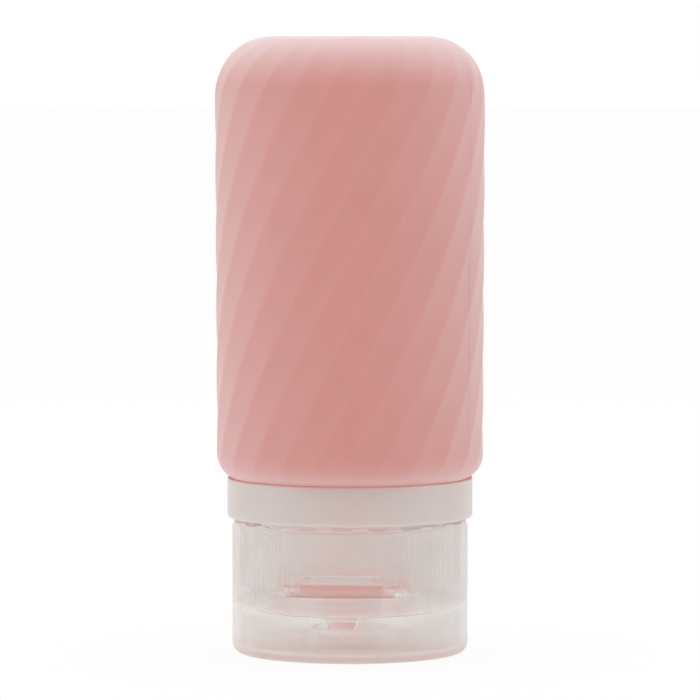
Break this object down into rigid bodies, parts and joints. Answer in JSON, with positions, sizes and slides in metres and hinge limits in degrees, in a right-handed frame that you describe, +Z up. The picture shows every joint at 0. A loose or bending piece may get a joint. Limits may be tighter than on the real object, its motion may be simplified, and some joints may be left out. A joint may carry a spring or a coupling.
{
  "type": "travel silicone bottle",
  "caption": "Soft squeeze bottle with a spiral-faceted silicone body, a threaded collar and a frosted screw cap with a hinged flip lid and drip valve.",
  "frame": {"origin": "centre of the flip lid's flat outer face, which the bottle stands on", "axes": "+Z up along the bottle's axis towards its closed end, -Y to the front with the thumb recess, hinge at +Y"},
  "size_m": [0.04, 0.04, 0.0915],
  "materials": {
    "pink_silicone": "matte",
    "frosted_polypropylene": "frosted, see-through"
  },
  "bodies": {
    "bottle": {"bottle_body": "pink_silicone", "collar_ring": "frosted_polypropylene"},
    "seal": {"cap_gasket": "pink_silicone"},
    "cap": {"cap_base": "frosted_polypropylene", "drip_valve": "pink_silicone", "valve_retainer": "frosted_polypropylene", "hinge_strap": "frosted_polypropylene"},
    "lid": {"flip_lid": "frosted_polypropylene"}
  },
  "joints": [
    {"name": "cap_lift", "type": "slide", "parent": "bottle", "child": "seal", "axis": [0, 0, -1], "range_m": [0, 0.0125]},
    {"name": "cap_turn", "type": "hinge", "parent": "seal", "child": "cap", "pos_m": [0, 0, 0.01], "axis": [0, 0, -1], "range_deg": [0, 1080]},
    {"name": "lid_flip", "type": "hinge", "parent": "cap", "child": "lid", "pos_m": [0, 0.0167, 0.00887], "axis": [1, 0, 0], "range_deg": [0, 150], "deforming": ["hinge_strap"]}
  ],
  "couplings": [
    {"joint": "cap_lift", "follows": "cap_turn", "m_per_rad": 0.00063662}
  ]
}
